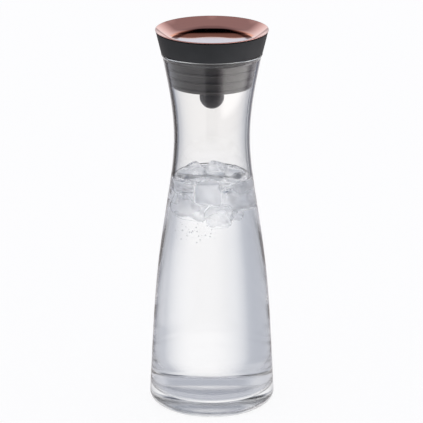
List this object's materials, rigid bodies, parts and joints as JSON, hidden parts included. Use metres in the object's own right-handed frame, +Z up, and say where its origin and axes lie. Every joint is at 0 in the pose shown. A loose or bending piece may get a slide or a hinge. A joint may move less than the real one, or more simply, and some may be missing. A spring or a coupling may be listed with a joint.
{
  "type": "water carafe",
  "caption": "Waisted glass water carafe with a ribbed stopper; its dished copper-coloured lid rocks open on its rim, held to a counterweight ball, when water is poured.",
  "frame": {"origin": "middle of the foot, on the surface that the carafe stands on", "axes": "+Z up along the vessel's axis, -Y the side that it is poured from, +X to the right seen from that side"},
  "size_m": [0.0952, 0.0952, 0.29],
  "materials": {
    "clear_glass": "clear, fire polished",
    "collar_silicone": "matt",
    "sleeve_silicone": "satin",
    "core_plastic": "moulded",
    "spider_plastic": "moulded",
    "bush_plastic": "smooth",
    "copper_coated_steel": "polished, copper-coloured coating",
    "steel": "turned",
    "brass": "turned",
    "ball_plastic": "matt"
  },
  "bodies": {
    "carafe": {"glass_vessel": "clear_glass"},
    "stopper": {"pouring_collar": "collar_silicone", "stopper_core": "core_plastic", "sealing_sleeve": "sleeve_silicone", "guide_spider": "spider_plastic", "guide_bush": "bush_plastic", "spider_snap_ring": "steel"},
    "lid": {"lid_dish": "copper_coated_steel", "stem_boss": "steel", "stem": "steel", "stem_locknut": "steel", "ball_core": "steel", "ball_insert": "brass", "ball_cover": "ball_plastic"}
  },
  "joints": [
    {"name": "stopper_lift", "type": "slide", "parent": "carafe", "child": "stopper", "axis": [0, 0, 1], "range_m": [0, 0.055]},
    {"name": "lid_rock", "type": "hinge", "parent": "stopper", "child": "lid", "pos_m": [0, 0.0414, 0.2892], "axis": [-1, 0, 0], "range_deg": [0, 12]}
  ]
}
